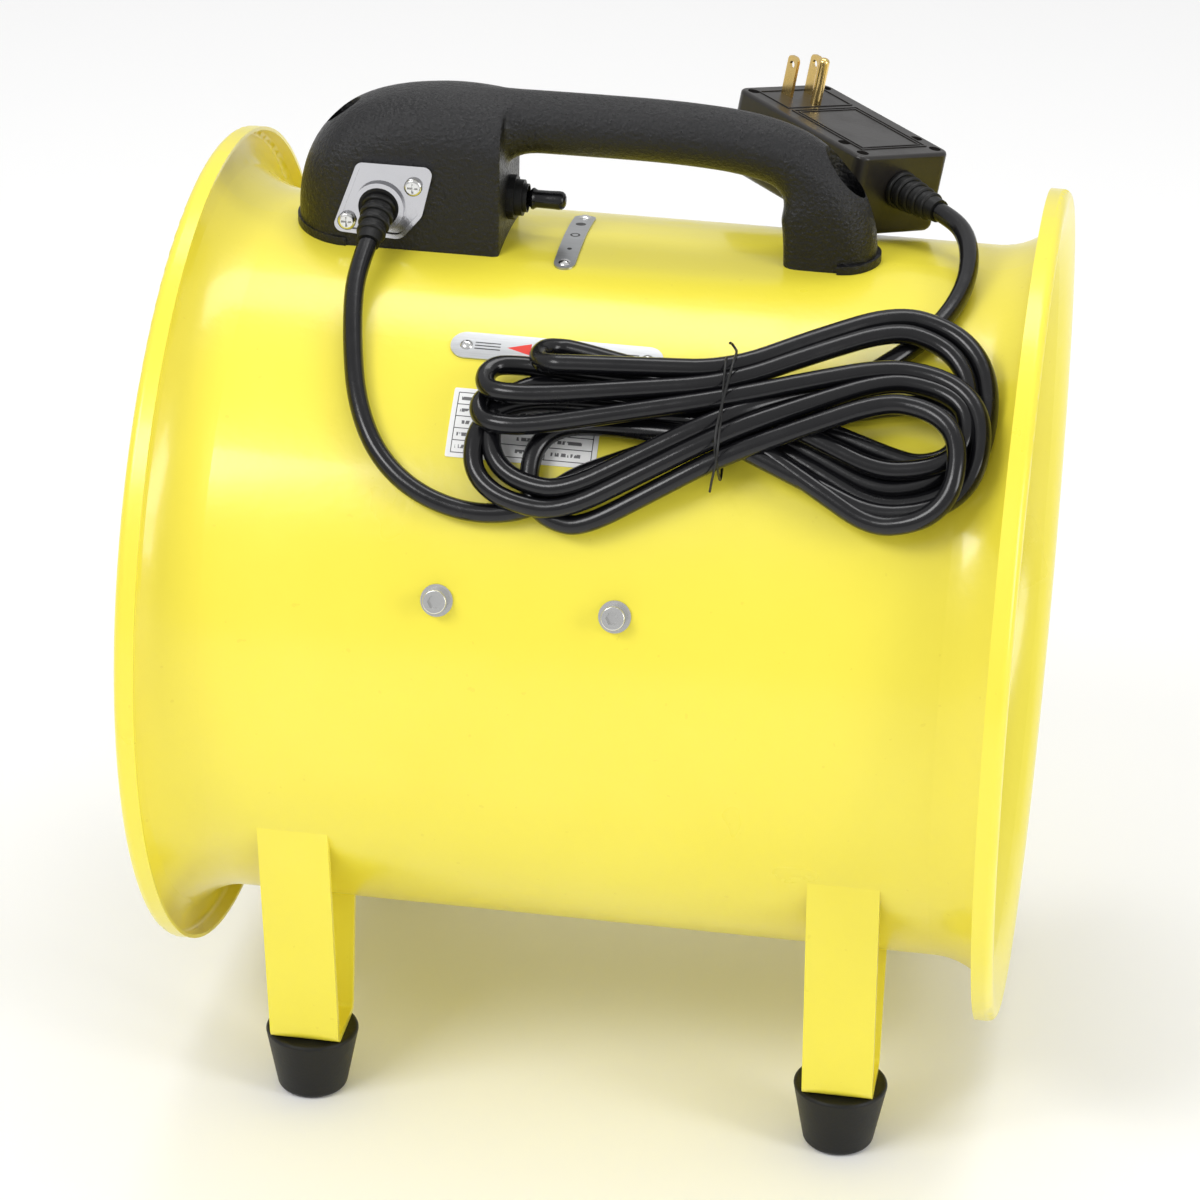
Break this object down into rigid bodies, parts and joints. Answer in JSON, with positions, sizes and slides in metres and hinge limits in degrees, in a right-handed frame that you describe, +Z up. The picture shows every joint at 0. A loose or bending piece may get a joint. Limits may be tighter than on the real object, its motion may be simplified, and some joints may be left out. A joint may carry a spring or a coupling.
{
  "type": "axial air mover",
  "caption": "Portable tube-axial blower: flared yellow barrel on strap legs, caged motor and fan wheel inside, carrying handle with toggle switch, tied mains cord with protected plug.",
  "frame": {"origin": "floor under the middle of the barrel, between the four feet", "axes": "+X along the barrel towards the fan wheel end, +Y away from the cord side, +Z up"},
  "size_m": [0.357, 0.354, 0.4263],
  "materials": {
    "yellow_paint": "glossy yellow powder coat",
    "handle_plastic": "black moulded plastic with a fine leather-like texture",
    "black_rubber": "satin black rubber",
    "cord_jacket": "glossy black cord jacket",
    "plug_plastic": "black moulded plastic",
    "zinc_steel": "bright zinc plated steel",
    "chrome_plate": "polished chrome",
    "plate_aluminium": "satin aluminium with printed marks",
    "label_paper": "white satin label with blank ruled lines",
    "plug_brass": "bright brass",
    "motor_paint": "satin dark grey paint",
    "cast_aluminium": "as-cast aluminium",
    "core_steel": "stacked steel laminations",
    "copper_wire": "varnished copper winding",
    "guard_wire": "black coated wire",
    "capacitor_white": "off-white plastic can",
    "button_red": "red button",
    "button_grey": "grey button",
    "board_green": "green circuit board"
  },
  "bodies": {
    "frame": {"barrel": "yellow_paint", "handle": "handle_plastic", "handle_fasteners": "zinc_steel", "switch_body": "plug_plastic", "toggle_nut": "black_rubber", "relief_plate": "chrome_plate", "relief_plate_screws": "zinc_steel", "cord_strain_relief": "black_rubber", "switch_plate": "plate_aluminium", "switch_plate_rivets": "zinc_steel", "direction_plate": "plate_aluminium", "direction_plate_rivets": "zinc_steel", "rating_label": "label_paper", "motor_lead": "cord_jacket", "lead_grommet": "black_rubber", "motor_shell": "motor_paint", "stator_core": "core_steel", "stator_windings": "copper_wire", "motor_front_bell": "cast_aluminium", "motor_rear_bell": "cast_aluminium", "front_bearing": "zinc_steel", "rear_bearing": "zinc_steel", "motor_through_bolts": "zinc_steel", "run_capacitor": "capacitor_white", "capacitor_clip": "zinc_steel", "strut_fasteners": "zinc_steel", "left_guard": "guard_wire", "right_guard": "guard_wire", "guard_clips": "yellow_paint", "guard_screws": "zinc_steel", "plug_front": "plug_plastic", "plug_back": "plug_plastic", "plug_screws": "zinc_steel", "plug_prongs": "plug_brass", "plug_circuit": "board_green", "plug_strain_relief": "black_rubber", "cord_handle_lead": "cord_jacket", "cord_plug_lead": "cord_jacket", "cord_hank": "cord_jacket", "cord_tie": "guard_wire", "foot_fasteners": "zinc_steel", "motor_strut_near": "yellow_paint", "motor_strut_far": "yellow_paint", "motor_strut_bottom": "yellow_paint", "leg_bracket_near_left": "yellow_paint", "rubber_foot_near_left": "black_rubber", "leg_bracket_near_right": "yellow_paint", "rubber_foot_near_right": "black_rubber", "leg_bracket_far_left": "yellow_paint", "rubber_foot_far_left": "black_rubber", "leg_bracket_far_right": "yellow_paint", "rubber_foot_far_right": "black_rubber"},
    "fan_rotor": {"fan_wheel": "cast_aluminium", "fan_nut": "zinc_steel", "motor_shaft": "zinc_steel", "rotor_core": "core_steel"},
    "toggle": {"toggle_lever": "black_rubber"},
    "test_button": {"test_button": "button_grey"},
    "reset_button": {"reset_button": "button_red"}
  },
  "joints": [
    {"name": "fan_spin", "type": "hinge", "parent": "frame", "child": "fan_rotor", "pos_m": [0, 0, 0.212], "axis": [1, 0, 0], "continuous": true},
    {"name": "toggle_swing", "type": "hinge", "parent": "frame", "child": "toggle", "pos_m": [-0.048, 0, 0.379], "axis": [0, 0, 1], "range_deg": [-12, 12]},
    {"name": "test_press", "type": "slide", "parent": "frame", "child": "test_button", "axis": [0.1508, 0.0753, 0.9857], "range_m": [0, 0.0015], "stiffness_N_per_m": 400},
    {"name": "reset_press", "type": "slide", "parent": "frame", "child": "reset_button", "axis": [0.1508, 0.0753, 0.9857], "range_m": [0, 0.0015], "stiffness_N_per_m": 400}
  ]
}
